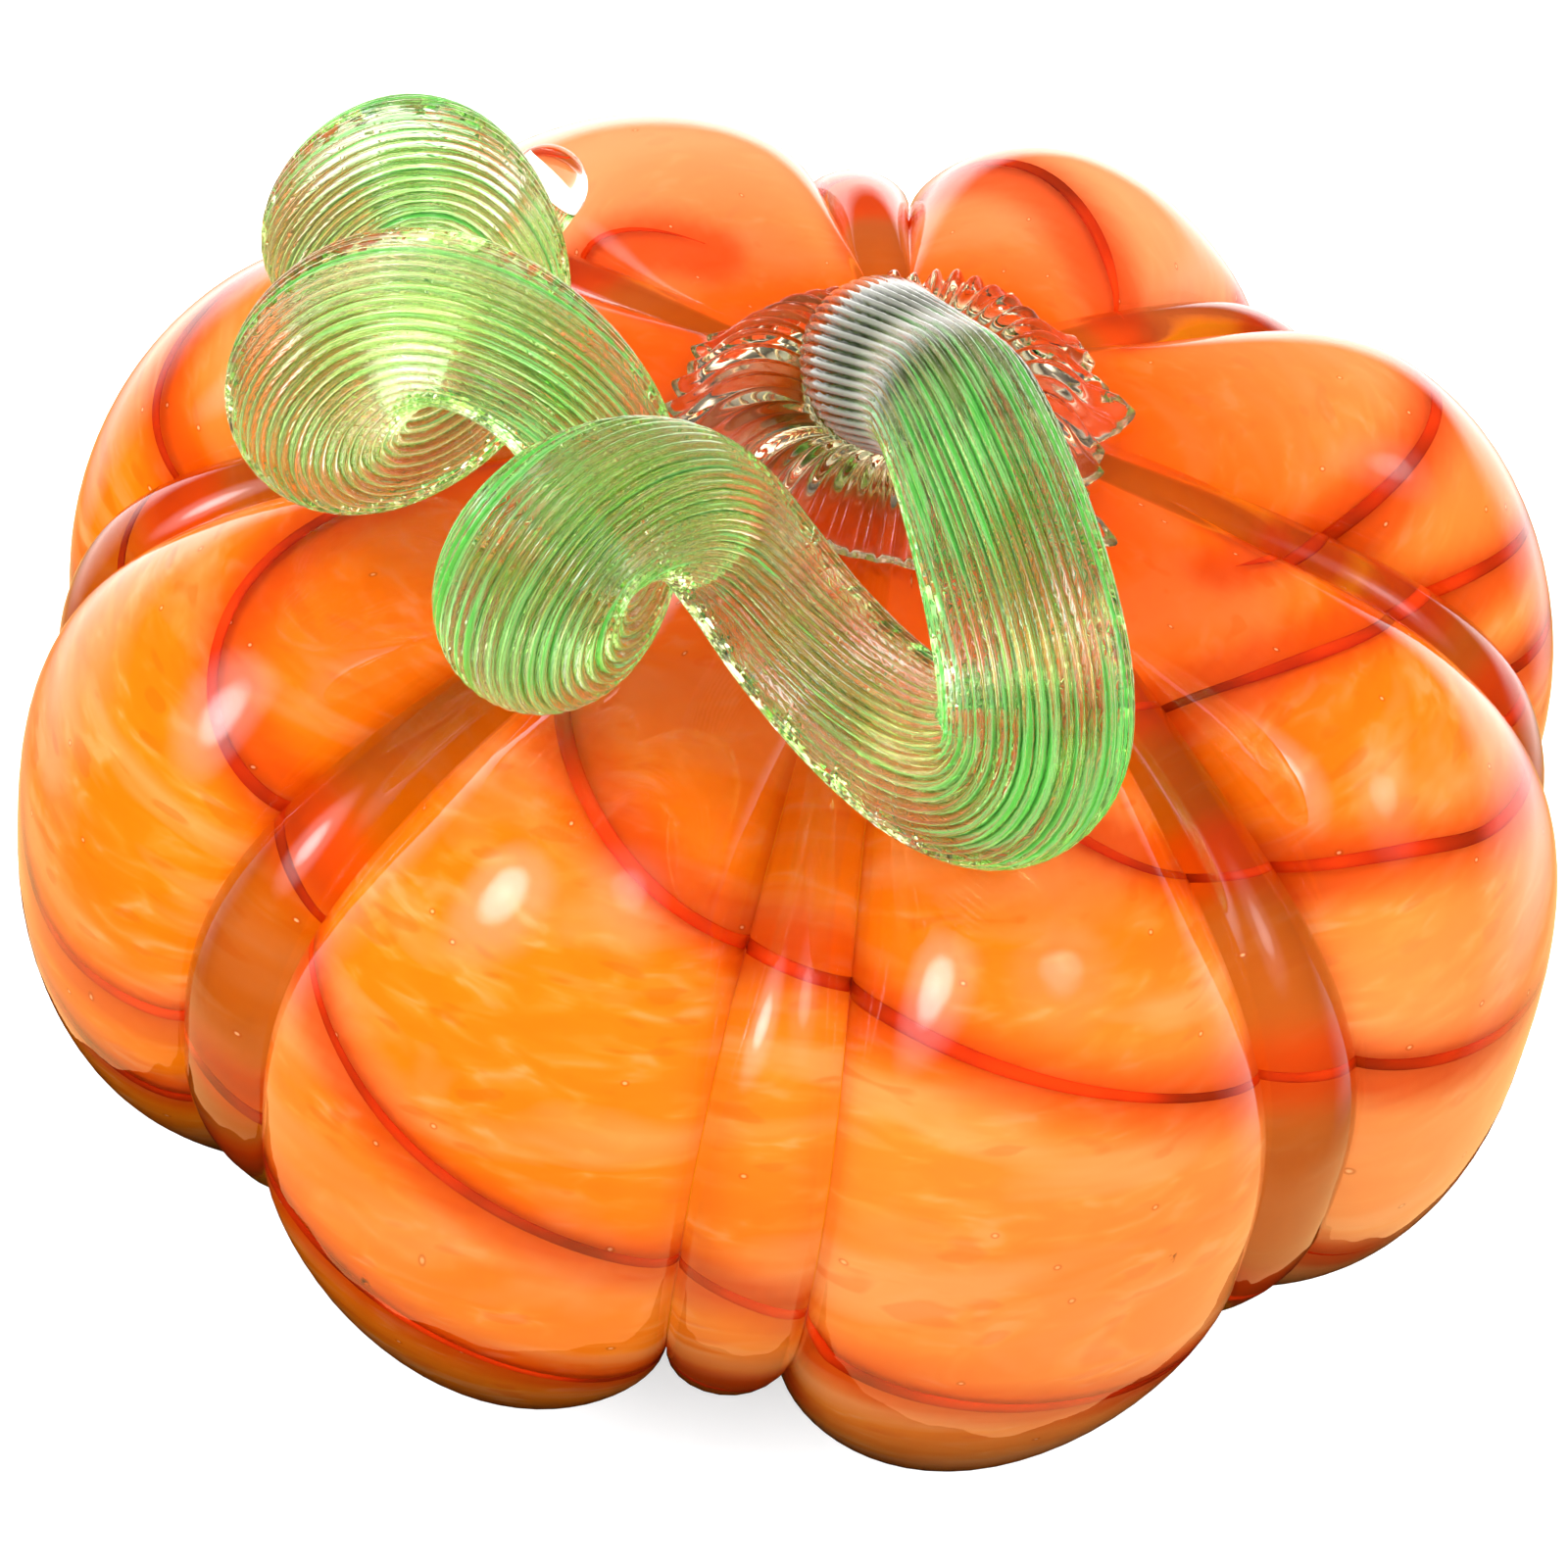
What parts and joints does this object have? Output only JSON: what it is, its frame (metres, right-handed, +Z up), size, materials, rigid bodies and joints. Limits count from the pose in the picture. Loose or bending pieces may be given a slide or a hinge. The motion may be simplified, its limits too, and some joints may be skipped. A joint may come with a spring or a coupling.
{
  "type": "blown glass pumpkin figure",
  "caption": "Hollow lobed glass pumpkin with a fused colour layer, red swirl threads and a drawn, curled glass stem; a decorative figure that stands on a flat surface.",
  "frame": {"origin": "on the ground, under the middle of the overall footprint", "axes": "+Z up, +X to the right seen from the front, the front lobes at -Y, the stem's foot towards +Y"},
  "size_m": [0.1596, 0.1494, 0.1298],
  "materials": {
    "amber_glass": "polished, blown",
    "orange_glass": "opalescent",
    "red_glass": "polished",
    "clear_glass": "polished",
    "foot_glass": "polished, ribbed",
    "stem_glass": "polished, ribbed",
    "green_glass": "speckled"
  },
  "bodies": {
    "root": {"outer_casing": "amber_glass", "colour_layer": "orange_glass", "red_threads": "red_glass", "base_bit": "clear_glass", "stem_foot": "foot_glass", "stem_coil": "stem_glass", "stem_core": "green_glass", "stem_tip": "clear_glass"}
  },
  "joints": []
}
